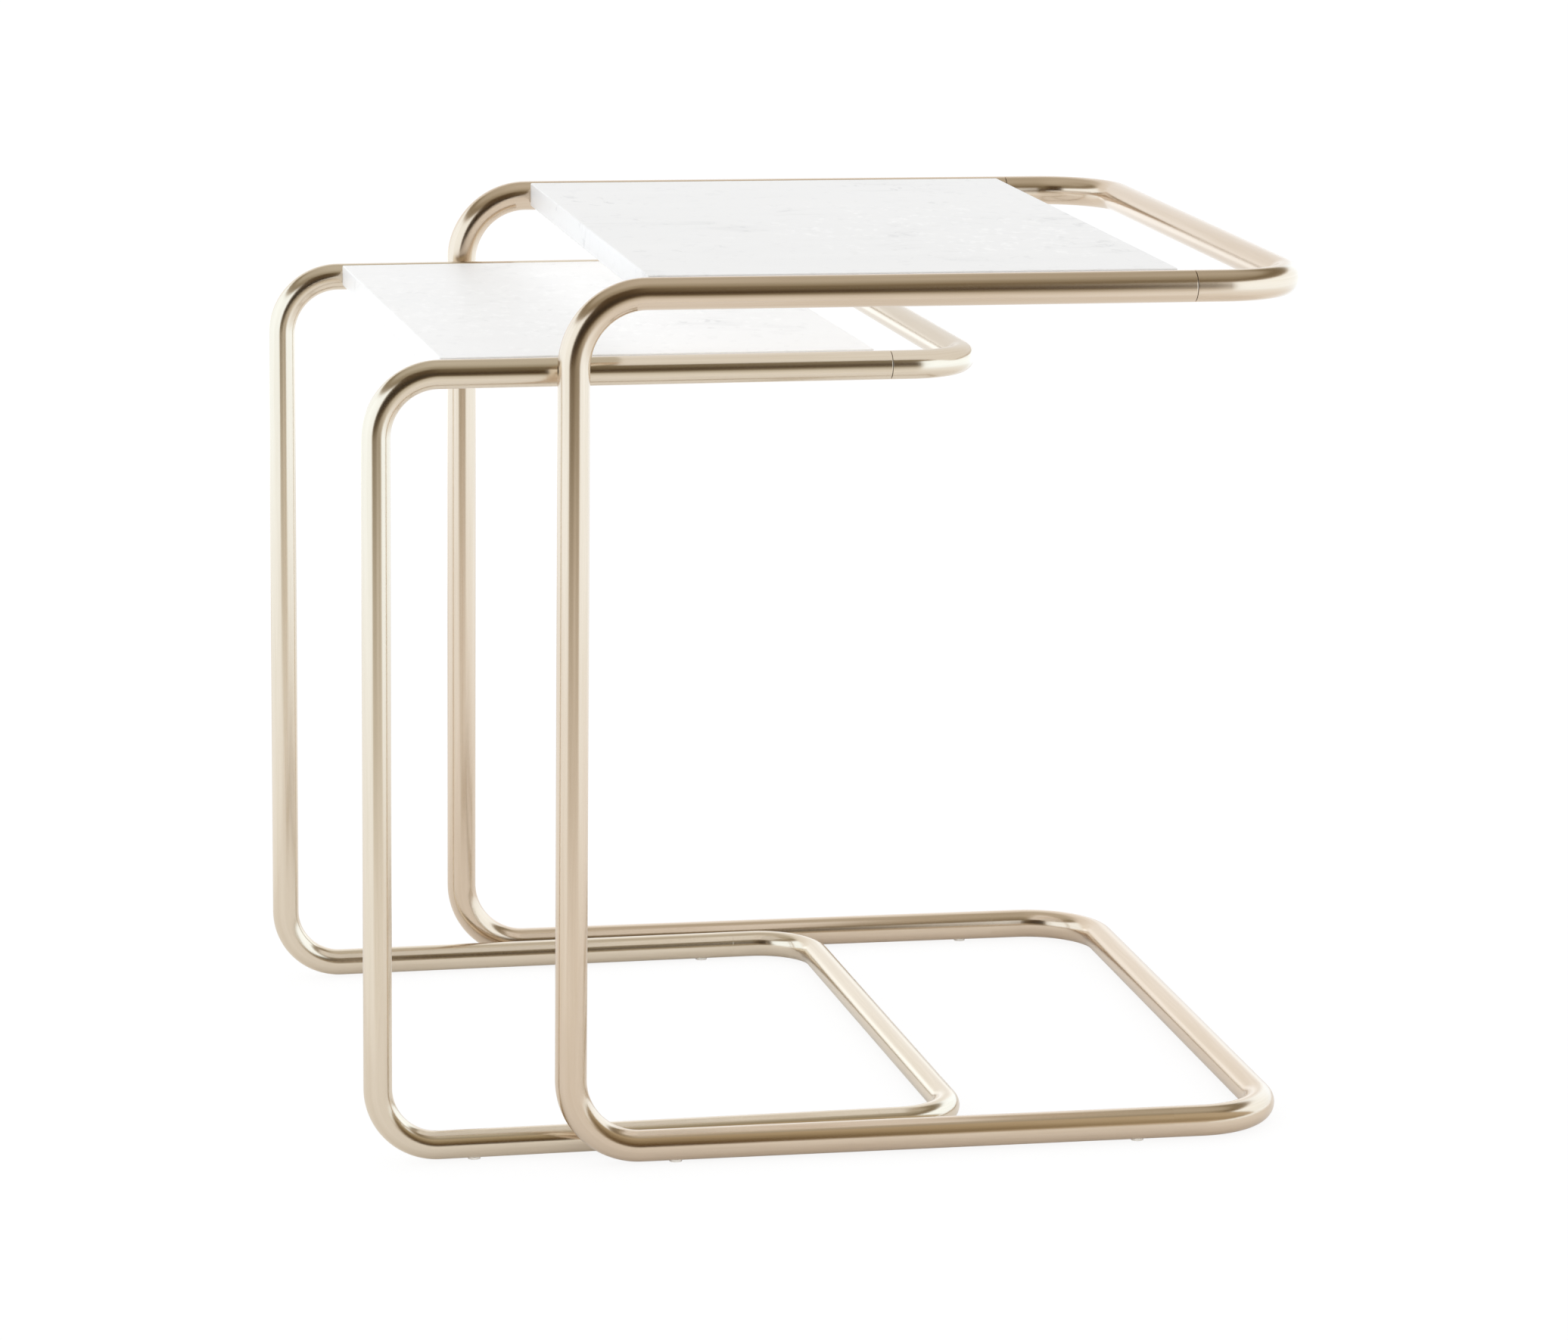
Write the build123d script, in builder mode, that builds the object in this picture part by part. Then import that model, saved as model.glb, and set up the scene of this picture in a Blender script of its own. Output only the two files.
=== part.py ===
from build123d import *
import os
from math import cos, radians, sin
from types import SimpleNamespace

# A pair of nesting side tables. Each has a bent tube frame, closed at the floor and open at the
# right-hand side, with a stone slab held between its top rails. The small table stands between
# the large one's base rails, partly pulled out to the left. Millimetres, +Z up, near side at -Y.

os.makedirs("parts", exist_ok=True)

# Large table
large_tube = 20.0  # outside diameter of the frame tube
large_reach = 460.0  # leg axis to front bar axis
large_spread = 507.0  # near rail axis to far rail axis
large_height = 560.0  # floor to the top of the rails
large_side_bend = 45.0  # centreline radius between leg and rail
large_corner_bend = 50.0  # centreline radius between rail and front bar
large_bow_straight = 21.0  # straight stretch of a front bow before its corner

# Small table
small_tube = 18.0
small_reach = 376.0
small_side_bend = 39.0
small_corner_bend = 40.0
small_bow_straight = 14.0

# How the small table stands inside the large one
nest_side_gap = 9.0  # rail to rail on each side, with both tables square
nest_headroom = 32.0  # small table's top to the underside of the large rails
pull_out = 124.0  # large leg axis to small leg axis along X
stand_turn = 1.4  # small table's turn on the floor, in degrees

# Tube joints
tube_wall = 1.5
spigot_slip = 0.1  # radial clearance of spigots and sleeves in the tube
spigot_grip = 34.0  # length of a bow spigot inside the rail
spigot_lead = 1.0  # chamfer at a spigot's ends
sleeve_grip = 18.0  # length of a weld sleeve inside the rail
sleeve_wall = 1.5
bow_end_gap = 3.0  # from a spigot's end to the start of the bow's corner
screw_diameter = 4.0
screw_length = 6.0
screw_slip = 0.1  # radial clearance of a set screw in its holes
screw_recess = 0.3  # how deep a set screw sits above the tube's underside
key_width = 2.0  # hexagon socket across its flats
key_depth = 2.2

# Stone slabs and what carries them
slab_gap = 0.4  # slab edge to rail on each side
slab_start = 2.0  # end of the leg bend to the slab's left end
slab_setback = 8.0  # slab's right end to the bow's seam
slab_arris = 1.0  # chamfer along the slab's edges
tab_thickness = 3.0
tab_length = 30.0  # along the rail
tab_width = 18.0  # under the slab
tab_bite = 6.0  # under the rail, where the tab is welded
tab_corner = 4.0
tab_inset = 35.0  # slab end to the tab's middle
pad_thickness = 1.0
pad_diameter = 12.0

# Floor glides, pressed into the base rails from below
glide_lift = 0.8  # floor to the tube's underside
glide_diameter = 8.0
glide_saddle = 0.7  # how far the head's rim rises beside the tube
stem_diameter = 5.0
stem_slip = 0.05
stem_length = 4.0  # above the tube's underside
stem_lead = 0.6
glide_inset = 22.0  # end of the bottom rail's straight run to the glide's axis

# Sizes of the small table that follow from the nest
small_spread = large_spread - large_tube - small_tube - 2 * nest_side_gap
small_height = large_height - large_tube - nest_headroom

# Places along X, first counted from the large legs, then from the middle of the pair's outline
turn_cos = cos(radians(stand_turn))
turn_sin = sin(radians(stand_turn))
small_middle = small_reach / 2 - pull_out
outline_left = small_middle - turn_cos * small_reach / 2 - turn_sin * small_spread / 2 - small_tube / 2
outline_right = large_reach + large_tube / 2
outline_middle = (outline_left + outline_right) / 2
large_floor = Plane((large_reach / 2 - outline_middle, 0, 0))
small_floor = Plane((small_middle - outline_middle, 0, 0), x_dir=(turn_cos, turn_sin, 0))

lying_along_x = (0, 90, 0)
standing = (Align.CENTER, Align.CENTER, Align.MIN)


def table(name, floor, tube, reach, spread, height, side_bend, corner_bend, bow_straight):
    """Work out one table's places in the frame of its own floor plane."""
    t = SimpleNamespace(name=name, floor=floor, side_bend=side_bend, corner_bend=corner_bend)
    t.radius = tube / 2
    t.bore = t.radius - tube_wall
    t.leg_x = -reach / 2
    t.bar_x = reach / 2
    t.seam_x = t.bar_x - corner_bend - bow_straight
    t.plug = bow_straight - bow_end_gap
    t.rails = {"near": -spread / 2, "far": spread / 2}
    t.top = height - t.radius
    t.base = glide_lift + t.radius
    t.slab_thickness = tube - tab_thickness - pad_thickness
    t.slab_bottom = height - t.slab_thickness
    t.slab_left = t.leg_x + side_bend + slab_start
    t.slab_right = t.seam_x - slab_setback
    t.slab_width = spread - tube - 2 * slab_gap
    t.tab_x = {"left": t.slab_left + tab_inset, "right": t.slab_right - tab_inset}
    t.glide_x = {"left": t.leg_x + side_bend + glide_inset, "right": t.seam_x - glide_inset}
    t.screw_x = t.seam_x + t.plug / 2
    t.underside = t.top - t.radius
    return t


tables = [
    table("large", large_floor, large_tube, large_reach, large_spread, large_height,
          large_side_bend, large_corner_bend, large_bow_straight),
    table("small", small_floor, small_tube, small_reach, small_spread, small_height,
          small_side_bend, small_corner_bend, small_bow_straight),
]


def save(piece, name):
    """Label a finished piece and write its file."""
    piece.part.label = name
    export_step(piece.part, f"parts/{name}.step")


def inward(y):
    """Direction along Y from a rail towards the middle of its table."""
    return 1 if y < 0 else -1


# Side tubes: top rail, leg and bottom rail bent from one length
for t in tables:
    for side, y in t.rails.items():
        upright = Plane(t.floor.from_local_coords((0, y, 0)), x_dir=t.floor.x_dir, z_dir=-t.floor.y_dir)
        with BuildPart(t.floor) as side_tube:
            with BuildLine(upright) as run:
                FilletPolyline((t.seam_x, t.top), (t.leg_x, t.top), (t.leg_x, t.base), (t.seam_x, t.base),
                               radius=t.side_bend)
            with BuildSketch(Plane(run.line @ 0, z_dir=run.line % 0)):
                Circle(t.radius)
                Circle(t.bore, mode=Mode.SUBTRACT)
            sweep()
            with Locations([(x, y, 0) for x in t.glide_x.values()]):
                Cylinder(stem_diameter / 2 + stem_slip, t.base, align=standing, mode=Mode.SUBTRACT)
        save(side_tube, f"{t.name}_{side}_side_tube")

# Base bows: welded and ground flush at the ends of the bottom rails
for t in tables:
    with BuildPart(t.floor) as base_bow:
        with BuildLine(t.floor.offset(t.base)) as run:
            FilletPolyline((t.seam_x, t.rails["near"]), (t.bar_x, t.rails["near"]),
                           (t.bar_x, t.rails["far"]), (t.seam_x, t.rails["far"]), radius=t.corner_bend)
        with BuildSketch(Plane(run.line @ 0, z_dir=run.line % 0)):
            Circle(t.radius)
            Circle(t.bore, mode=Mode.SUBTRACT)
        sweep()
    save(base_bow, f"{t.name}_base_bow")

# Top bows: slipped over the spigots once the slab is in, and locked from below
for t in tables:
    with BuildPart(t.floor) as top_bow:
        with BuildLine(t.floor.offset(t.top)) as run:
            FilletPolyline((t.seam_x, t.rails["near"]), (t.bar_x, t.rails["near"]),
                           (t.bar_x, t.rails["far"]), (t.seam_x, t.rails["far"]), radius=t.corner_bend)
        with BuildSketch(Plane(run.line @ 0, z_dir=run.line % 0)):
            Circle(t.radius)
            Circle(t.bore, mode=Mode.SUBTRACT)
        sweep()
        with Locations([(t.screw_x, y, t.underside) for y in t.rails.values()]):
            Cylinder(screw_diameter / 2 + screw_slip, t.radius, align=standing, mode=Mode.SUBTRACT)
    save(top_bow, f"{t.name}_top_bow")

# Bow spigots: solid plugs across the top seams, drilled for the set screws
for t in tables:
    spigot_radius = t.bore - spigot_slip
    spigot_length = spigot_grip + t.plug
    for side, y in t.rails.items():
        with BuildPart(t.floor) as spigot:
            with Locations((t.seam_x + (t.plug - spigot_grip) / 2, y, t.top)):
                Cylinder(spigot_radius, spigot_length, rotation=lying_along_x)
            chamfer(spigot.edges().filter_by(GeomType.CIRCLE), length=spigot_lead)
            with Locations((t.screw_x, y, t.underside)):
                Cylinder(screw_diameter / 2 + screw_slip, screw_recess + screw_length,
                         align=standing, mode=Mode.SUBTRACT)
        save(spigot, f"{t.name}_{side}_bow_spigot")

# Set screws: one through the underside of the bow at each seam
for t in tables:
    with BuildPart(t.floor) as set_screws:
        with Locations([(t.screw_x, y, t.underside + screw_recess) for y in t.rails.values()]):
            Cylinder(screw_diameter / 2, screw_length, align=standing)
        with BuildSketch(t.floor.offset(t.underside + screw_recess)):
            with Locations([(t.screw_x, y) for y in t.rails.values()]):
                RegularPolygon(key_width / 2, 6, major_radius=False)
        extrude(amount=key_depth, mode=Mode.SUBTRACT)
    save(set_screws, f"{t.name}_bow_set_screws")

# Weld sleeves: short backing tubes across the welds of the base
for t in tables:
    sleeve_radius = t.bore - spigot_slip
    sleeve_length = sleeve_grip + t.plug
    for side, y in t.rails.items():
        with BuildPart(t.floor) as sleeve:
            with Locations((t.seam_x + (t.plug - sleeve_grip) / 2, y, t.base)):
                Cylinder(sleeve_radius, sleeve_length, rotation=lying_along_x)
                Cylinder(sleeve_radius - sleeve_wall, sleeve_length, rotation=lying_along_x,
                         mode=Mode.SUBTRACT)
        save(sleeve, f"{t.name}_{side}_weld_sleeve")

# Slab tabs: plates welded to the rails under the slab's edges
for t in tables:
    for side, y in t.rails.items():
        for end, x in t.tab_x.items():
            tab_root = y + inward(y) * (t.radius - tab_bite)
            tab_tip = y + inward(y) * (t.radius + slab_gap + tab_width)
            with BuildPart(t.floor) as tab:
                with BuildSketch(t.floor.offset(t.underside)):
                    with Locations((x, (tab_root + tab_tip) / 2)):
                        Rectangle(tab_length, abs(tab_tip - tab_root))
                extrude(amount=tab_thickness)
                towards_tip = Axis(t.floor.origin, t.floor.y_dir * inward(y))
                fillet(tab.edges().filter_by(Axis.Z).sort_by(towards_tip)[-2:], radius=tab_corner)
                with Locations((x, y, t.top)):
                    Cylinder(t.radius, 2 * tab_length, rotation=lying_along_x, mode=Mode.SUBTRACT)
            save(tab, f"{t.name}_{side}_{end}_slab_tab")

# Slab pads: soft discs between the tabs and the slab
for t in tables:
    for side, y in t.rails.items():
        for end, x in t.tab_x.items():
            with BuildPart(t.floor) as pad:
                with Locations((x, y + inward(y) * (t.radius + slab_gap + tab_width / 2),
                                t.underside + tab_thickness)):
                    Cylinder(pad_diameter / 2, pad_thickness, align=standing)
            save(pad, f"{t.name}_{side}_{end}_slab_pad")

# Stone slabs: flush with the top of the rails
for t in tables:
    with BuildPart(t.floor) as slab:
        with BuildSketch(t.floor.offset(t.slab_bottom)):
            with Locations(((t.slab_left + t.slab_right) / 2, 0)):
                Rectangle(t.slab_right - t.slab_left, t.slab_width)
        extrude(amount=t.slab_thickness)
        chamfer(slab.edges(), length=slab_arris)
    save(slab, f"{t.name}_stone_slab")

# Floor glides: saddle-shaped heads under the bottom rails, with stems in the tube wall
for t in tables:
    for side, y in t.rails.items():
        for end, x in t.glide_x.items():
            with BuildPart(t.floor) as glide:
                with Locations((x, y, 0)):
                    Cylinder(glide_diameter / 2, glide_lift + glide_saddle, align=standing)
                with Locations((x, y, t.base)):
                    Cylinder(t.radius, 2 * glide_diameter, rotation=lying_along_x, mode=Mode.SUBTRACT)
                with Locations((x, y, glide_lift / 2)):
                    Cylinder(stem_diameter / 2, glide_lift / 2 + stem_length, align=standing)
                chamfer(glide.faces().sort_by(Axis.Z)[-1].edges(), length=stem_lead)
            save(glide, f"{t.name}_{side}_{end}_glide")
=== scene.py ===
import bpy
import numpy as np
from mathutils import Matrix


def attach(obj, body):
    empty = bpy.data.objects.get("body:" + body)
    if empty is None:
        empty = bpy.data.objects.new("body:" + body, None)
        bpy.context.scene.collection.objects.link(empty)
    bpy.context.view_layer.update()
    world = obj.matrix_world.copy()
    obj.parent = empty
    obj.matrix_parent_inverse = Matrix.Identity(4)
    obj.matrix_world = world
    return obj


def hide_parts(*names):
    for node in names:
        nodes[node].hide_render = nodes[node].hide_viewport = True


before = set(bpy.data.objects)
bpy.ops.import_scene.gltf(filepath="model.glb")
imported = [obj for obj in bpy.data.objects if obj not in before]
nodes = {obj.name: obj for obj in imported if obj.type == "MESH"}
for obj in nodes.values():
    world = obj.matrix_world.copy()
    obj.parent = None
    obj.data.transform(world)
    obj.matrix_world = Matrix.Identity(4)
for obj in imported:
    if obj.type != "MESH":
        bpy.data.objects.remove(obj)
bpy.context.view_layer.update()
print("frame loaded with", len(nodes), "nodes")


class Wire:  # one socket of a node tree; arithmetic on it adds Math nodes
    def __init__(self, tree, socket=None):
        self.tree = tree
        self.socket = socket

    def node(self, kind, settings=None, sockets=None, out=0):  # settings go first, then values or links
        made = self.tree.nodes.new(kind)
        for name, value in (settings or {}).items():
            setattr(made, name, value)
        for name, value in (sockets or {}).items():
            if isinstance(value, Wire):
                self.tree.links.new(value.socket, made.inputs[name])
            else:
                made.inputs[name].default_value = value
        return Wire(self.tree, made.outputs[out] if len(made.outputs) else None)

    def math(self, operation, *terms):
        return self.node("ShaderNodeMath", {"operation": operation}, dict(enumerate(terms)))

    def __add__(self, other):
        return self.math("ADD", self, other)

    def __radd__(self, other):
        return self.math("ADD", other, self)

    def __sub__(self, other):
        return self.math("SUBTRACT", self, other)

    def __rsub__(self, other):
        return self.math("SUBTRACT", other, self)

    def __mul__(self, other):
        return self.math("MULTIPLY", self, other)

    def __rmul__(self, other):
        return self.math("MULTIPLY", other, self)

    def __pow__(self, other):
        return self.math("POWER", self, other)

    def __abs__(self):
        return self.math("ABSOLUTE", self)

    def noise(self, vector, scale, detail=2.0, rough=0.5, distortion=0.0):
        return self.node("ShaderNodeTexNoise", {}, {
            "Vector": vector, "Scale": scale, "Detail": detail, "Roughness": rough, "Distortion": distortion})

    def step(self, value, low, high):  # 0 below low, 1 above high, smooth between
        return self.node("ShaderNodeMapRange", {"interpolation_type": "SMOOTHSTEP"}, {
            "Value": value, "From Min": low, "From Max": high})

    def blend(self, factor, first, second):  # two colours through a Mix node
        return self.node("ShaderNodeMix", {"data_type": "RGBA"}, {0: factor, 6: first, 7: second}, out=2)

    def combine(self, x, y, z):
        return self.node("ShaderNodeCombineXYZ", {}, {0: x, 1: y, 2: z})

    def mapped(self, scale=(1, 1, 1), turn=(0, 0, 0), shift=(0, 0, 0)):  # object coordinates, rearranged
        place = self.node("ShaderNodeTexCoord", out="Object")
        return self.node("ShaderNodeMapping", {}, {
            "Vector": place, "Location": shift, "Rotation": turn, "Scale": scale})

    def bump(self, height, strength, distance):
        return self.node("ShaderNodeBump", {}, {"Height": height, "Strength": strength, "Distance": distance})


def newFinish(name):
    finish = bpy.data.materials.new(name)
    finish.use_nodes = True
    finish.node_tree.nodes.clear()
    return finish, Wire(finish.node_tree)


def closeFinish(wire, sockets):
    shader = wire.node("ShaderNodeBsdfPrincipled", {}, sockets)
    wire.node("ShaderNodeOutputMaterial", {}, {"Surface": shader})


def tone(level, tint=(1.0, 1.0, 1.0)):
    return (level * tint[0], level * tint[1], level * tint[2], 1.0)


# In the finishes a noise is given as cells per metre, detail, roughness and distortion, a bump as strength
# and depth, and a span as the two values between which something comes in.
champagne = {
    "large": ((0.64, 0.515, 0.385, 1.0), (0.71, 0.590, 0.465, 1.0)),  # deep and pale tone of each frame
    "small": ((0.68, 0.580, 0.450, 1.0), (0.75, 0.655, 0.530, 1.0)),
    "lines": (55.0, 22.0), "clouds": (2.5, 9.0),  # noise radius of one turn, cells per metre of tube
    "plateLines": (25.0, 5000.0, 5000.0), "plateClouds": (30.0, 90.0, 90.0),  # cells per metre on flat plates
    "lineNoise": (1.0, 3.0, 0.6), "cloudNoise": (1.0, 2.0),
    "lineShare": 0.55, "cloudShare": 0.45, "toneSpan": (0.25, 0.75),
    "rough": 0.19, "roughSwing": 0.07, "bump": (0.06, 0.00012),
}


def satinChampagne(name, tones, alongTube):  # brushed lines run along the tube, or along X on flat plates
    finish, wire = newFinish(name)
    if alongTube:
        uv = wire.node("ShaderNodeUVMap", {"uv_map": "alongTube"})
        turn = wire.node("ShaderNodeSeparateXYZ", {}, {0: uv}, out="X") * (2 * np.pi)
        run = wire.node("ShaderNodeSeparateXYZ", {}, {0: uv}, out="Y")
        across = wire.math("COSINE", turn)
        upward = wire.math("SINE", turn)
        lineAt, cloudAt = [wire.combine(across * radius, upward * radius, run * cells)
                           for radius, cells in (champagne["lines"], champagne["clouds"])]
    else:
        lineAt = wire.mapped(scale=champagne["plateLines"])
        cloudAt = wire.mapped(scale=champagne["plateClouds"])
    lines = wire.noise(lineAt, *champagne["lineNoise"])
    clouds = wire.noise(cloudAt, *champagne["cloudNoise"])
    wear = lines * champagne["lineShare"] + clouds * champagne["cloudShare"]
    closeFinish(wire, {
        "Base Color": wire.blend(wire.step(wear, *champagne["toneSpan"]), *champagne[tones]), "Metallic": 1.0,
        "Roughness": champagne["rough"] + champagne["roughSwing"] * (wear - 0.5),
        "Normal": wire.bump(lines, *champagne["bump"])})
    return finish


stone = {
    "warm": (1.0, 0.997, 0.992), "ior": 1.5,
    "drawnOut": (1.0, 2.8, 2.8), "drawnTurn": (0.0, 0.0, 0.30),  # clouds and veins run nearly along X
    "clouds": (6.0, 6.0, 0.6, 0.5), "cloudSpan": (0.3, 0.7), "cloudTones": (0.985, 1.008),
    "veins": (3.2, 7.0, 0.58, 1.1), "veinEdge": 30.0, "veinShare": 0.6,
    "speckStretch": (1.0, 0.6, 1.0),  # flecks and dashes are longer across the table
    "dashes": (110.0, 3.0, 0.6, 0.6), "dashSpan": (0.575, 0.67), "dash": 0.85, "dashShare": 0.9,
    "dashHome": (11.0, 3.0, 0.55), "homeSpan": (0.50, 0.66), "strayDashes": 0.25,  # dashes gather in patches
    "flecks": (135.0, 4.0, 0.65), "fleckSpan": (0.52, 0.66), "fleck": 1.085, "palest": 0.97,
    "fleckEdge": (22.0, 3.0, 0.6), "edgeSwing": 2.4, "edgeSpan": (0.55, 1.05),  # the flecks' patch is ragged
    "grain": (260.0, 3.0, 0.6), "grainBump": (0.05, 0.0001),
    "rough": 0.42, "cloudRough": 0.10, "grainRough": 0.06,
}


def honedMarble(name, slab):  # nearly even white, with grey dashes, faint veins and a patch of pale flecks
    finish, wire = newFinish(name)
    light, shift, warm = slab["light"], slab["shift"], stone["warm"]
    plain = wire.mapped(shift=shift)
    drawn = wire.mapped(scale=stone["drawnOut"], turn=stone["drawnTurn"], shift=shift)
    specks = wire.mapped(scale=stone["speckStretch"], shift=shift)
    clouds = wire.noise(drawn, *stone["clouds"])
    grain = wire.noise(plain, *stone["grain"])
    dashes = wire.step(wire.noise(specks, *stone["dashes"]), *stone["dashSpan"])
    dashHome = wire.step(wire.noise(plain, *stone["dashHome"]), *stone["homeSpan"])
    veins = (1.0 - abs(wire.noise(drawn, *stone["veins"]) * 2.0 - 1.0)) ** stone["veinEdge"]
    flecks = wire.step(wire.noise(specks, *stone["flecks"]), *stone["fleckSpan"])
    narrow = 1.0 / slab["flecksWide"]
    patchX, patchY = slab["flecksAt"]
    centred = wire.mapped(scale=(narrow, narrow, narrow), shift=(-patchX * narrow, -patchY * narrow, 0.0))
    flat = wire.node("ShaderNodeVectorMath", {"operation": "MULTIPLY"}, {0: centred, 1: (1.0, 1.0, 0.0)})
    away = wire.node("ShaderNodeVectorMath", {"operation": "LENGTH"}, {0: flat}, out="Value")
    ragged = stone["edgeSwing"] * (wire.noise(plain, *stone["fleckEdge"]) - 0.5)
    fleckHome = 1.0 - wire.step(away + ragged, *stone["edgeSpan"])
    dull, clear = [tone(light * share, warm) for share in stone["cloudTones"]]
    ground = wire.blend(wire.step(clouds, *stone["cloudSpan"]), dull, clear)
    pale = tone(min(light * stone["fleck"], stone["palest"]), warm)
    flecked = wire.blend(flecks * fleckHome * slab["fleckShare"], ground, pale)
    gathered = stone["strayDashes"] + (1.0 - stone["strayDashes"]) * dashHome
    marks = dashes * gathered * stone["dashShare"] + veins * dashHome * stone["veinShare"]
    veined = wire.blend(wire.math("MINIMUM", marks, 1.0), flecked, tone(light * stone["dash"]))
    rough = stone["rough"] + stone["cloudRough"] * (clouds - 0.5) + stone["grainRough"] * (grain - 0.5)
    closeFinish(wire, {
        "Base Color": veined, "Roughness": rough, "IOR": stone["ior"],
        "Normal": wire.bump(grain, *stone["grainBump"])})
    return finish


nylon = {
    "tones": ((0.82, 0.80, 0.75, 1.0), (0.88, 0.86, 0.82, 1.0)), "pebble": (1800.0, 3.0, 0.6),
    "rough": 0.42, "roughSwing": 0.15, "bump": (0.15, 0.0001),
}


def mouldedNylon(name):  # fine moulded pebble on milky natural nylon
    finish, wire = newFinish(name)
    pebble = wire.noise(wire.mapped(), *nylon["pebble"])
    closeFinish(wire, {
        "Base Color": wire.blend(pebble, *nylon["tones"]),
        "Roughness": nylon["rough"] + nylon["roughSwing"] * pebble,
        "Normal": wire.bump(pebble, *nylon["bump"])})
    return finish


silicone = {
    "tones": ((0.76, 0.76, 0.74, 1.0), (0.85, 0.85, 0.83, 1.0)), "haze": (420.0, 3.0),
    "rough": 0.35, "roughSwing": 0.15, "ior": 1.41,
}


def clearSilicone(name):  # milky soft disc
    finish, wire = newFinish(name)
    haze = wire.noise(wire.mapped(), *silicone["haze"])
    closeFinish(wire, {
        "Base Color": wire.blend(haze, *silicone["tones"]), "IOR": silicone["ior"],
        "Roughness": silicone["rough"] + silicone["roughSwing"] * haze})
    return finish


lathe = {
    "spigot": (0.44, 0.56, 0.30), "screw": (0.05, 0.09, 0.42),  # deep and pale tone, roughness
    "rings": (6000.0, 120.0, 120.0), "ringNoise": (1.0, 2.0), "roughSwing": 0.12, "bump": (0.1, 0.0001),
}


def turnedSteel(name, deep, pale, rough):  # fine rings left by the lathe, across X
    finish, wire = newFinish(name)
    rings = wire.noise(wire.mapped(scale=lathe["rings"]), *lathe["ringNoise"])
    closeFinish(wire, {
        "Base Color": wire.blend(rings, tone(deep), tone(pale)), "Metallic": 1.0,
        "Roughness": rough + lathe["roughSwing"] * rings, "Normal": wire.bump(rings, *lathe["bump"])})
    return finish


tubeFinish = {size: satinChampagne(size + "ChampagneTube", size, True) for size in ("large", "small")}
plateFinish = {size: satinChampagne(size + "ChampagnePlate", size, False) for size in ("large", "small")}
nylonFinish = mouldedNylon("glideNylon")
padFinish = clearSilicone("padSilicone")
steelFinish = turnedSteel("spigotSteel", *lathe["spigot"])
screwFinish = turnedSteel("screwBlackOxide", *lathe["screw"])
print("finishes made")


hardEdge = np.radians(40.0)  # sharper edges are not smoothed


def newPiece(name, points, faces, uv=None):
    mesh = bpy.data.meshes.new(name)
    mesh.from_pydata(points.tolist(), [], [list(face) for face in faces])
    if uv is not None:
        mesh.uv_layers.new(name="alongTube").data.foreach_set("uv", uv.ravel())
    mesh.shade_smooth()
    mesh.set_sharp_from_angle(angle=hardEdge)
    mesh.update()
    piece = bpy.data.objects.new(name, mesh)
    bpy.context.scene.collection.objects.link(piece)
    return piece


def gridFaces(rows, columns, loopRows=False, loopColumns=False):  # the four corners of each cell
    row, column = np.meshgrid(np.arange(rows if loopRows else rows - 1),
                              np.arange(columns if loopColumns else columns - 1), indexing="ij")
    after, beside = (row + 1) % rows, (column + 1) % columns
    return np.stack([row * columns + column, row * columns + beside,
                     after * columns + beside, after * columns + column], -1).reshape(-1, 4)


largeFrame = {
    "name": "large", "middle": 0.0642267, "turn": 0.0,  # place of its floor centre along X, turn in degrees
    "tube": 0.020, "reach": 0.460, "spread": 0.507, "height": 0.560,
    "sideBend": 0.045, "cornerBend": 0.050, "bowStraight": 0.021,
    "stone": {"light": 0.845, "shift": (0.31, 0.12, 0.0),
              "flecksAt": (0.13, -0.05), "flecksWide": 0.14, "fleckShare": 0.85},
}
smallFrame = {
    "name": "small", "middle": -0.1017733, "turn": 1.4,
    "tube": 0.018, "reach": 0.376, "spread": 0.451, "height": 0.508,
    "sideBend": 0.039, "cornerBend": 0.040, "bowStraight": 0.014,
    "stone": {"light": 0.905, "shift": (1.7, 0.6, 0.2),
              "flecksAt": (-0.14, 0.0), "flecksWide": 0.20, "fleckShare": 0.7},
}
tubeMake = {
    "wall": 0.0015, "lift": 0.0008,  # lift: height of the glides under the base
    "sides": 72, "arcSteps": 26, "runStep": 0.016,
    "seamLip": 0.00025, "weldLip": 0.00002, "lipSteps": 5, "seamGap": 0.0002, "support": 0.0004,
    "bowEndGap": 0.003, "screwHole": 0.0021, "stemHole": 0.00255, "glideInset": 0.022,
    "holeSides": 32, "holeReach": 0.002,  # how far a hole's cutter starts below the tube
}


def tablePlaces(table):  # the table's own X and Z places, in its floor frame
    radius = table["tube"] / 2
    seamX = table["reach"] / 2 - table["cornerBend"] - table["bowStraight"]
    return {
        "radius": radius, "legX": -table["reach"] / 2, "seamX": seamX,
        "top": table["height"] - radius, "base": tubeMake["lift"] + radius,
        "railY": table["spread"] / 2,
        "screwX": seamX + (table["bowStraight"] - tubeMake["bowEndGap"]) / 2,
        "glideX": (-table["reach"] / 2 + table["sideBend"] + tubeMake["glideInset"],
                   seamX - tubeMake["glideInset"]),
    }


def stand(table, points):  # turn about Z, then move to where the table stands
    angle = np.radians(table["turn"])
    spin = np.array([[np.cos(angle), -np.sin(angle), 0], [np.sin(angle), np.cos(angle), 0], [0, 0, 1]])
    return points @ spin.T + np.array([table["middle"], 0.0, 0.0])


def bentRun(start, heading, straights, bend):  # three straights with a quarter turn between them
    arc = bend * np.pi / 2
    return {"start": np.array(start), "heading": heading,
            "stretches": np.array([straights[0], arc, straights[1], arc, straights[2]]),
            "rates": np.array([0, 1 / bend, 0, 1 / bend, 0])}


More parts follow.
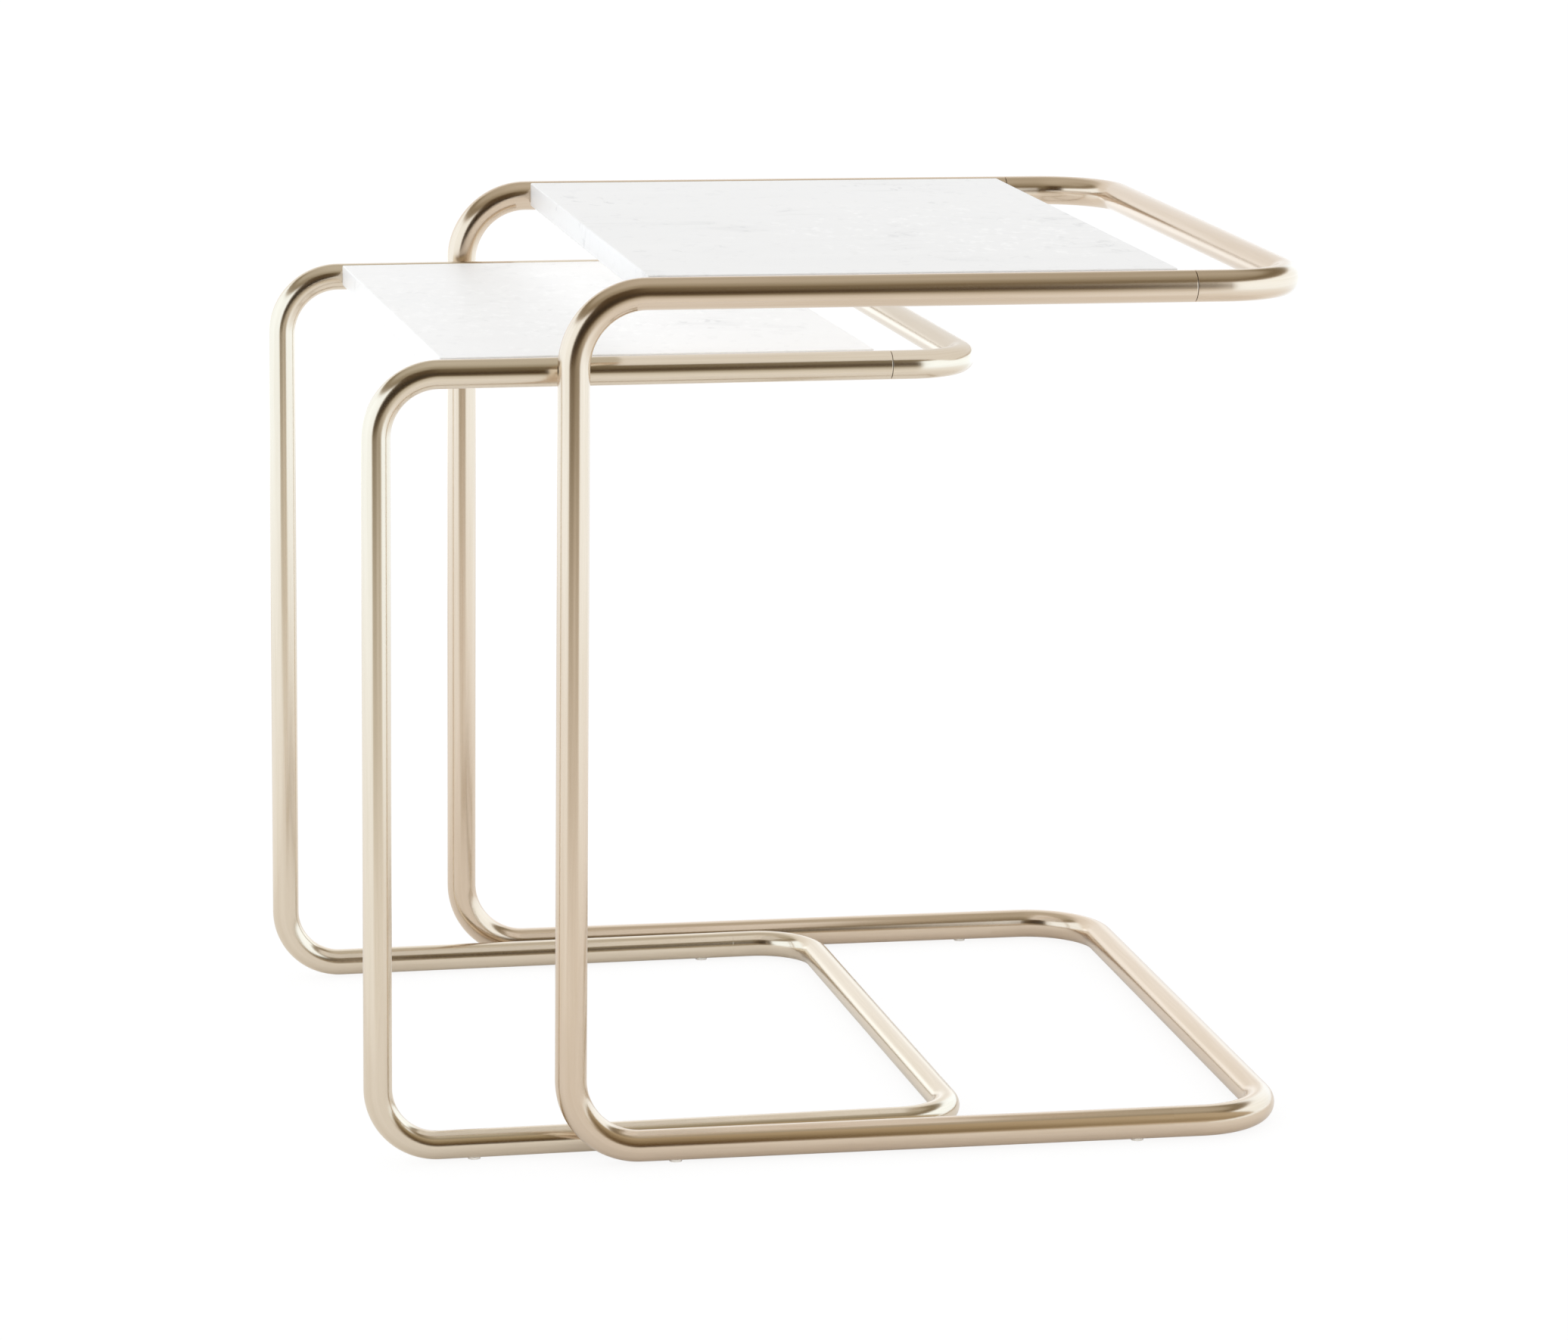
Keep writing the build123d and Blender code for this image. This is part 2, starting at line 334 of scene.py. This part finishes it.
# Each stretch adds the chord of the arc it has turned through: its length times sin(t/2)/(t/2), along the
# mean of its first and last heading.
def alongRun(run, length):
    ends = np.cumsum(run["stretches"])
    into = np.clip(length[:, None] - (ends - run["stretches"]), 0.0, run["stretches"])
    turned = into * run["rates"]
    whole = run["stretches"] * run["rates"]
    mean = run["heading"] + np.cumsum(whole) - whole + turned / 2
    chord = into * np.sinc(turned / (2 * np.pi))
    place = run["start"] + np.stack([(chord * np.cos(mean)).sum(1), (chord * np.sin(mean)).sum(1)], 1)
    return place, run["heading"] + turned.sum(1)


def runStations(run, runStep, arcSteps):  # even steps on straights, a fixed number on arcs
    ends = np.cumsum(run["stretches"])
    counts = np.where(run["rates"] == 0, np.ceil(run["stretches"] / runStep), arcSteps).astype(int)
    return np.concatenate([np.linspace(end - size, end, count, endpoint=False)
                           for end, size, count in zip(ends, run["stretches"], counts)])


# The wall's outline, as length along the run and distance from its axis: out along the skin, round the lip,
# back along the bore and round the other lip.
def wallOutline(run, radius, lips):
    whole = run["stretches"].sum()
    hold = tubeMake["support"]
    skin = runStations(run, tubeMake["runStep"], tubeMake["arcSteps"])
    skin = skin[(skin > lips[0] + 2 * hold) & (skin < whole - lips[1] - 2 * hold)]
    skin = np.concatenate([[lips[0], lips[0] + hold], skin, [whole - lips[1] - hold, whole - lips[1]]])
    swing = np.linspace(0, np.pi / 2, tubeMake["lipSteps"])[1:]
    farLip = whole - lips[1] + lips[1] * np.sin(swing)
    nearLip = (lips[0] - lips[0] * np.sin(swing))[::-1]
    bore = runStations(run, tubeMake["runStep"] * 2, tubeMake["arcSteps"] // 2)
    bore = np.concatenate([bore, [whole]])[::-1]
    lengths = np.concatenate([skin, farLip, bore, nearLip])
    radii = np.concatenate([
        np.full(skin.size, radius), radius - lips[1] + lips[1] * np.cos(swing),
        np.full(bore.size, radius - tubeMake["wall"]), (radius - lips[0] + lips[0] * np.cos(swing))[::-1]])
    return lengths, radii


# A ring stands across the run at each station: centre + radius * (cos(a) * inward normal + sin(a) *
# binormal). The grid closes both along the wall's outline and round the tube.
def tubeSkin(name, table, run, axes, level, lips):
    sides = tubeMake["sides"]
    lengths, radii = wallOutline(run, table["tube"] / 2, lips)
    place, heading = alongRun(run, lengths)
    first, second = np.array(axes[0]), np.array(axes[1])
    binormal = np.cross(first, second)
    normal = -np.sin(heading)[:, None] * first + np.cos(heading)[:, None] * second
    centre = place[:, :1] * first + place[:, 1:] * second + np.array(level)
    angle = np.arange(sides) * 2 * np.pi / sides
    ring = np.cos(angle)[None, :, None] * normal[:, None, :] + np.sin(angle)[None, :, None] * binormal
    points = centre[:, None, :] + radii[:, None, None] * ring
    faces = gridFaces(lengths.size, sides, loopRows=True, loopColumns=True)
    turn = (faces[:, :1] % sides + np.array([0, 1, 1, 0])) / sides  # runs on to 1 at the seam
    uv = np.stack([turn, lengths[faces // sides]], -1)
    return newPiece(name, stand(table, points.reshape(-1, 3)), faces, uv)


def drill(piece, table, holes, radius, floorZ, roofZ):  # round holes from below, through one wall
    sides = tubeMake["holeSides"]
    angle = np.linspace(0, 2 * np.pi, sides, endpoint=False)
    circle = np.stack([np.cos(angle), np.sin(angle)], 1) * radius
    rim = np.arange(sides)
    faces = [*gridFaces(2, sides, loopColumns=True), rim[::-1], rim + sides]
    for x, y in holes:
        rims = [np.column_stack([circle + (x, y), np.full(sides, z)]) for z in (floorZ, roofZ)]
        cutter = newPiece("cutter", stand(table, np.concatenate(rims)), faces)
        cut = piece.modifiers.new("hole", "BOOLEAN")
        cut.operation = "DIFFERENCE"
        cut.solver = "EXACT"
        cut.object = cutter
        seen = piece.evaluated_get(bpy.context.evaluated_depsgraph_get())
        drilled = bpy.data.meshes.new_from_object(seen)
        piece.modifiers.clear()
        piece.data = drilled
        bpy.data.objects.remove(cutter)
        drilled.set_sharp_from_angle(angle=hardEdge)


def settle(piece, table, node, finish):  # material, body, slot and the solid it stands for
    piece.data.materials.clear()
    piece.data.materials.append(finish)
    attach(piece, table["name"] + "_table")
    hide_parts(node)


def makeTubes(table):
    at = tablePlaces(table)
    gap = tubeMake["seamGap"]
    rail = at["seamX"] - at["legX"] - table["sideBend"]
    leg = at["top"] - at["base"] - 2 * table["sideBend"]
    bar = table["spread"] - 2 * table["cornerBend"]
    upright = ((1.0, 0.0, 0.0), (0.0, 0.0, 1.0))
    flat = ((1.0, 0.0, 0.0), (0.0, 1.0, 0.0))
    for side, y in (("near", -at["railY"]), ("far", at["railY"])):
        node = f"{table['name']}_{side}_side_tube"
        run = bentRun((at["seamX"] - gap, at["top"]), np.pi, (rail - gap, leg, rail), table["sideBend"])
        piece = tubeSkin(node + "_skin", table, run, upright, (0.0, y, 0.0),
                         (tubeMake["seamLip"], tubeMake["weldLip"]))
        drill(piece, table, [(x, y) for x in at["glideX"]],
              tubeMake["stemHole"], -tubeMake["holeReach"], at["base"])
        settle(piece, table, node, tubeFinish[table["name"]])
    bows = (("base_bow", at["base"], "weldLip", 0.0), ("top_bow", at["top"], "seamLip", gap))
    for bow, z, lip, back in bows:
        node = f"{table['name']}_{bow}"
        end = table["bowStraight"] - back
        run = bentRun((at["seamX"] + back, -at["railY"]), 0.0, (end, bar, end), table["cornerBend"])
        piece = tubeSkin(node + "_skin", table, run, flat, (0.0, 0.0, z), (tubeMake[lip], tubeMake[lip]))
        if bow == "top_bow":
            drill(piece, table, [(at["screwX"], -at["railY"]), (at["screwX"], at["railY"])],
                  tubeMake["screwHole"], z - at["radius"] - tubeMake["holeReach"], z)
        settle(piece, table, node, tubeFinish[table["name"]])
    print(table["name"], "tubes bent")


stoneTop = {
    "gap": 0.0004, "start": 0.002, "setback": 0.008,  # clear of the rails, the leg bend and the bow's seam
    "tabAndPad": 0.004, "hold": 0.003,  # underside above the tube's, and how far in the last ring lies
    "arris": 0.0009, "arrisSteps": 6, "plan": 0.0012, "leastPlan": 0.0002, "cornerSteps": 6,  # rounded edges
}


# A rounded rectangle is repeated at each height of the edge's outline, pulled in by that height's inset.
def makeSlab(table):
    at = tablePlaces(table)
    left = at["legX"] + table["sideBend"] + stoneTop["start"]
    right = at["seamX"] - stoneTop["setback"]
    halfX = (right - left) / 2
    halfY = at["railY"] - at["radius"] - stoneTop["gap"]
    under = table["height"] - table["tube"] + stoneTop["tabAndPad"]
    arris, hold = stoneTop["arris"], stoneTop["hold"]
    swing = np.linspace(0, np.pi / 2, stoneTop["arrisSteps"])
    rise = arris * (1 - np.cos(swing))
    inset = arris * (1 - np.sin(swing))
    insets = np.concatenate([[hold], inset, inset[::-1], [hold]])
    heights = np.concatenate([[under], under + rise, table["height"] - rise[::-1], [table["height"]]])
    quarter = np.linspace(0, np.pi / 2, stoneTop["cornerSteps"])
    angle = np.concatenate([quarter + turn * np.pi / 2 for turn in range(4)])
    signX = np.repeat([1, -1, -1, 1], quarter.size)
    signY = np.repeat([1, 1, -1, -1], quarter.size)
    bend = np.maximum(stoneTop["plan"] - insets, stoneTop["leastPlan"])[:, None]
    x = (left + right) / 2 + signX * (halfX - insets[:, None] - bend) + bend * np.cos(angle)
    y = signY * (halfY - insets[:, None] - bend) + bend * np.sin(angle)
    z = np.broadcast_to(heights[:, None], x.shape)
    rings, around = x.shape
    rim = np.arange(around)
    faces = [*gridFaces(rings, around, loopColumns=True), rim[::-1], rim + (rings - 1) * around]
    node = table["name"] + "_stone_slab"
    piece = newPiece(node + "_honed", stand(table, np.stack([x, y, z], -1).reshape(-1, 3)), faces)
    marble = honedMarble("marble" + table["name"].title(), table["stone"])
    settle(piece, table, node, marble)
    print(table["name"], "slab laid")


for table in (largeFrame, smallFrame):
    makeTubes(table)
    makeSlab(table)

keptFinishes = {
    "_slab_pad": padFinish, "_glide": nylonFinish,
    "_spigot": steelFinish, "_sleeve": steelFinish, "_set_screws": screwFinish,
}
for name, node in nodes.items():
    finishes = {**keptFinishes, "_slab_tab": plateFinish[name.split("_")[0]]}
    for ending, finish in finishes.items():
        if name.endswith(ending):
            node.data.materials.clear()
            node.data.materials.append(finish)
print("small fittings finished")


studio = {
    "zenith": 0.90, "horizon": 2.2, "skyFall": 3.0,  # dome strength for diffuse light, up and at the skyline
    "floorSize": (40.0, 40.0), "floorDrop": 0.0004, "floorWhite": 0.93,
    "floorGlow": 0.85, "floorGloss": 0.14,  # share of plain white on the floor, for the camera and for gloss
    "floorGlowLevel": 1.03,
    "underPlace": (0.0490, 0.0, 0.5395), "underSize": (0.352, 0.530), "underLevel": 0.340,
    "underPaintedReflection": 0.95, "sheenDrop": 0.0002,  # painted reflection: the glow that gloss sees in place of the large top's underside
}


def flatSheet(name, size, place, facesDown=False):  # one level rectangle about its place
    square = np.array([[-0.5, -0.5], [0.5, -0.5], [0.5, 0.5], [-0.5, 0.5]])
    corners = np.column_stack([square * size, np.zeros(4)]) + np.array(place)
    return newPiece(name, corners, [[0, 3, 2, 1] if facesDown else [0, 1, 2, 3]])


def rayShare(wire, camera, gloss):  # one share for camera rays, another for gloss and glass, 0 for the rest
    path = wire.node("ShaderNodeLightPath")
    rays = {out.name: Wire(wire.tree, out) for out in path.socket.node.outputs}
    bounced = wire.math("MINIMUM", rays["Is Glossy Ray"] + rays["Is Transmission Ray"], 1.0)
    return rays["Is Camera Ray"] * camera + bounced * gloss


dome = bpy.data.worlds.new("studioDome")
dome.use_nodes = True
dome.node_tree.nodes.clear()
wire = Wire(dome.node_tree)
shown = rayShare(wire, 1.0, 1.0)
outward = wire.node("ShaderNodeTexCoord", out="Generated")
upward = wire.node("ShaderNodeSeparateXYZ", {}, {0: outward}, out="Z")
skyline = (1.0 - wire.math("MAXIMUM", upward, 0.0)) ** studio["skyFall"]
soft = studio["zenith"] + (studio["horizon"] - studio["zenith"]) * skyline
sky = wire.node("ShaderNodeBackground", {}, {"Color": tone(1.0), "Strength": shown + (1.0 - shown) * soft})
wire.node("ShaderNodeOutputWorld", {}, {"Surface": sky})
bpy.context.scene.world = dome

floor = flatSheet("studioFloor", studio["floorSize"], (0.0, 0.0, -studio["floorDrop"]))
floorFinish, wire = newFinish("studioWhite")
matt = wire.node("ShaderNodeBsdfDiffuse", {}, {"Color": tone(studio["floorWhite"])})
glow = wire.node("ShaderNodeEmission", {}, {"Color": tone(1.0), "Strength": studio["floorGlowLevel"]})
glowShare = rayShare(wire, studio["floorGlow"], studio["floorGloss"])
paper = wire.node("ShaderNodeMixShader", {}, {0: glowShare, 1: matt, 2: glow})
wire.node("ShaderNodeOutputMaterial", {}, {"Surface": paper})
floor.data.materials.append(floorFinish)

tent = {
    "inner": 0.62, "wide": 1.6, "high": 2.3,  # floor edge near the tables, wall radius and roof height
    "bearingStep": 2.0, "floorRings": 24, "wallRings": 80, "roofRings": 24,
    "floorLift": 0.0002, "roofHole": 0.02, "roofFade": 0.8,  # the roof's front comes in over this length
    "openLeft": -38.5, "openRight": 24.0, "openFade": 7.0,  # dark side towards the camera, in degrees
    "backFrom": 135.0, "backFull": 155.0, "backNeutral": 0.6,  # the strip at the back is less cool
    "gloom": (-8.0, 10.0, 0.45, 1.15), "gloomRise": (0.1, 0.4),  # the dark side is deepest left of its middle
    # each pale streak on the wall: bearing, half width, gain, and the heights between which it fades
    "streaks": ((-4.0, 7.0, 0.22, 0.15, 0.40), (-157.0, 6.0, 0.32, 0.33, 0.50)),
    "floor": {  # distance from the middle and level
        "front": ((0.6, 1.0), (1.0, 0.94), (1.35, 0.82), (1.6, 0.72)),
        "left": ((0.6, 1.02), (1.0, 1.10), (1.6, 1.14)),
        "right": ((0.6, 1.02), (1.6, 1.25)),
        "back": ((0.6, 1.0), (1.6, 0.96)),
    },
    "wall": {  # height and level
        "front": ((0.0, 0.72), (0.1, 0.64), (0.22, 0.47), (0.35, 0.26), (0.5, 0.12), (0.75, 0.06),
                  (1.0, 0.12), (1.35, 0.19), (1.8, 0.20), (2.3, 0.34)),
        "left": ((0.0, 1.15), (0.2, 1.30), (1.35, 1.34), (1.5, 0.35), (1.9, 0.30), (2.3, 0.45)),
        "right": ((0.0, 1.25), (0.3, 1.33), (1.20, 1.38), (1.36, 0.32), (1.8, 0.22), (2.3, 0.42)),
        "back": ((0.0, 0.95), (0.12, 1.05), (0.2, 1.28), (0.36, 1.30), (0.5, 1.08), (0.72, 1.14),
                 (0.95, 1.03), (1.5, 1.0), (1.8, 0.72), (2.3, 0.65)),
    },
    "roof": {  # distance from the middle and level
        "front": ((0.0, 0.68), (0.5, 0.66), (0.9, 0.52), (1.6, 0.36)),
        "left": ((0.0, 0.68), (0.5, 0.62), (1.6, 0.52)),
        "right": ((0.0, 0.68), (0.5, 0.62), (1.6, 0.52)),
        "back": ((0.0, 0.68), (1.6, 0.62)),
    },
    "warmth": ((0.09, 0.61, 0.22), (0.16, 0.78, 0.45), (0.5, 0.94, 0.78), (1.0, 1.0, 1.0),
               (1.3, 1.14, 1.29)),  # level, then green and blue against red
}


def smooth(value, low, high):  # 0 below low, 1 above high, an S curve between
    part = np.clip((value - low) / (high - low), 0.0, 1.0)
    return part * part * (3.0 - 2.0 * part)


def curve(value, stops, column=1):
    return np.interp(value, [stop[0] for stop in stops], [stop[column] for stop in stops])


def warmLight(level, hue):  # red at the level, green and blue less where the hue's level is dark
    green, blue = [level * curve(hue, tent["warmth"], column) for column in (1, 2)]
    return np.stack([level, green, blue, np.ones(level.shape)], -1)


def glossOnly(piece, light, oneSided=False):  # a sheet of light that only reflections see
    piece.data.attributes.new("light", "FLOAT_COLOR", "POINT").data.foreach_set("color", light.ravel())
    finish, wire = newFinish(piece.name + "Glow")
    seen = wire.node("ShaderNodeAttribute", {"attribute_name": "light"})
    shine = wire.node("ShaderNodeEmission", {}, {"Color": seen, "Strength": 1.0})
    if oneSided:  # clear from its back
        behind = wire.node("ShaderNodeNewGeometry", out="Backfacing")
        clear = wire.node("ShaderNodeBsdfTransparent")
        shine = wire.node("ShaderNodeMixShader", {}, {0: behind, 1: shine, 2: clear})
    wire.node("ShaderNodeOutputMaterial", {}, {"Surface": shine})
    piece.data.materials.append(finish)
    piece.visible_camera = False
    piece.visible_diffuse = False
    piece.visible_shadow = False
    piece.visible_transmission = False


# The tent is a floor ring, an upright wall and a flat roof, turned round Z: (r sin b, -r cos b, z). The light
# of each follows one curve for each of four sides, mixed by bearing. Dark parts are warm, the brightest cool.
def lightTent():
    bearing = np.radians(np.arange(0.0, 360.0, tent["bearingStep"]))
    ground = np.linspace(tent["inner"], tent["wide"], tent["floorRings"])
    rise = np.linspace(0.0, tent["high"], tent["wallRings"])[1:]
    over = np.linspace(tent["wide"], tent["roofHole"], tent["roofRings"])[1:]
    reach = np.concatenate([ground, np.full(rise.size, tent["wide"]), over])
    height = np.concatenate([np.full(ground.size, tent["floorLift"]), rise, np.full(over.size, tent["high"])])
    r, b = np.meshgrid(reach, bearing, indexing="ij")
    z = np.broadcast_to(height[:, None], r.shape)
    points = np.stack([r * np.sin(b), -r * np.cos(b), z], -1)
    turn = (np.degrees(b) + 180.0) % 360.0 - 180.0
    onFloor = z <= tent["floorLift"]
    onRoof = z >= tent["high"]
    edge = tent["openFade"] / 2
    front = smooth(turn, tent["openLeft"] - edge, tent["openLeft"] + edge)
    front = front - smooth(turn, tent["openRight"] - edge, tent["openRight"] + edge)
    front = np.where(onRoof, smooth(-points[..., 1], 0.0, tent["roofFade"]), front)
    back = smooth(np.abs(turn), tent["backFrom"], tent["backFull"]) * (1.0 - front)
    right = (1.0 - front - back) * (turn > 0.0)
    shares = {"front": front, "back": back, "right": right, "left": 1.0 - front - back - right}
    fromTurn, toTurn, deep, faint = tent["gloom"]
    gloom = deep + (faint - deep) * smooth(turn, fromTurn, toTurn)
    level = np.zeros(r.shape)
    for side, share in shares.items():
        wall = curve(z, tent["wall"][side])
        if side == "front":
            wall = wall * (1.0 + (gloom - 1.0) * smooth(z, *tent["gloomRise"]))
        flat = np.where(onFloor, curve(r, tent["floor"][side]), curve(r, tent["roof"][side]))
        level = level + share * np.where(onFloor | onRoof, flat, wall)
    for middle, spread, gain, low, high in tent["streaks"]:
        streak = gain * np.exp(-((turn - middle) / spread) ** 2) * (1.0 - smooth(z, low, high))
        level = level + np.where(onFloor | onRoof, 0.0, streak)
    hue = level - tent["backNeutral"] * back * np.maximum(level - 1.0, 0.0)
    piece = newPiece("lightTent", points.reshape(-1, 3), gridFaces(*r.shape, loopColumns=True))
    glossOnly(piece, warmLight(level, hue))


lightTent()

frontFlag = {
    "height": 0.10, "railY": -0.26, "left": -0.60, "right": 0.90,
    "near": 0.03, "far": 1.24,  # near and far edge, measured from the near rails
    "rows": 48, "columns": 60,
    "swing": (-0.20, 0.35), "slant": 0.21,  # where the left light turns to the right, and how that line leans
    "leftLight": ((0.03, 0.58), (0.08, 0.36), (0.16, 0.18), (0.28, 0.09), (0.79, 0.06), (1.24, 0.08)),
    "rightLight": ((0.03, 0.60), (0.08, 0.62), (0.16, 0.47), (0.28, 0.42), (0.79, 0.80), (1.24, 0.90)),
    "warmer": 0.6,
}


# A level sheet low over the floor in front, (x, railY - reach, height). It is bright from below only, for the
# base rails.
def lightFlag():
    away = np.geomspace(frontFlag["near"], frontFlag["far"], frontFlag["rows"])
    along = np.linspace(frontFlag["left"], frontFlag["right"], frontFlag["columns"])
    reach, x = np.meshgrid(away, along, indexing="ij")
    share = smooth(x - frontFlag["slant"] * reach, *frontFlag["swing"])
    leftLevel, rightLevel = [curve(reach, frontFlag[side]) for side in ("leftLight", "rightLight")]
    level = leftLevel * (1.0 - share) + rightLevel * share
    points = np.stack([x, frontFlag["railY"] - reach, np.full(x.shape, frontFlag["height"])], -1)
    piece = newPiece("frontFlag", points.reshape(-1, 3), gridFaces(*x.shape))
    glossOnly(piece, warmLight(level, level * frontFlag["warmer"]), oneSided=True)


lightFlag()

underLamp = bpy.data.lights.new("underTopFill", "AREA")  # lifts the large top's shade on the small one
underLamp.shape = "RECTANGLE"
underLamp.size, underLamp.size_y = studio["underSize"]
underLamp.energy = studio["underLevel"] * np.pi * studio["underSize"][0] * studio["underSize"][1]
under = bpy.data.objects.new("underTopFill", underLamp)
under.location = studio["underPlace"]
under.visible_camera = False
under.visible_glossy = False
bpy.context.scene.collection.objects.link(under)
# painted reflection: a gloss-only glowing sheet just under the large top, brighter than its real shaded
# underside
sheenSpot = np.array(studio["underPlace"]) - np.array([0.0, 0.0, studio["sheenDrop"]])
sheen = flatSheet("underTopPaintedReflection", studio["underSize"], sheenSpot, facesDown=True)
glossOnly(sheen, np.tile(tone(studio["underPaintedReflection"]), (4, 1)))
print("studio lit")

shot = {
    "place": (-0.66418, -3.41624, 0.98918), "lens": 122.02, "sensor": 36.0,
    "yaw": 0.19692, "pitch": 0.20642, "roll": 0.01268,  # turned to the right, tipped down, rolled
}
yaw, pitch, roll = shot["yaw"], shot["pitch"], shot["roll"]
ahead = np.array([np.sin(yaw) * np.cos(pitch), np.cos(yaw) * np.cos(pitch), -np.sin(pitch)])
level = np.array([np.cos(yaw), -np.sin(yaw), 0.0])
upright = np.cross(level, ahead)
pose = np.eye(4)
pose[:3, 0] = level * np.cos(roll) + upright * np.sin(roll)
pose[:3, 1] = upright * np.cos(roll) - level * np.sin(roll)
pose[:3, 2] = -ahead
pose[:3, 3] = shot["place"]
lens = bpy.data.cameras.new("photoCamera")
lens.lens = shot["lens"]
lens.sensor_width = shot["sensor"]
camera = bpy.data.objects.new("photoCamera", lens)
camera.matrix_world = Matrix(pose.tolist())
bpy.context.scene.collection.objects.link(camera)
bpy.context.scene.camera = camera
bpy.context.scene.view_settings.view_transform = "Standard"
print("camera placed")
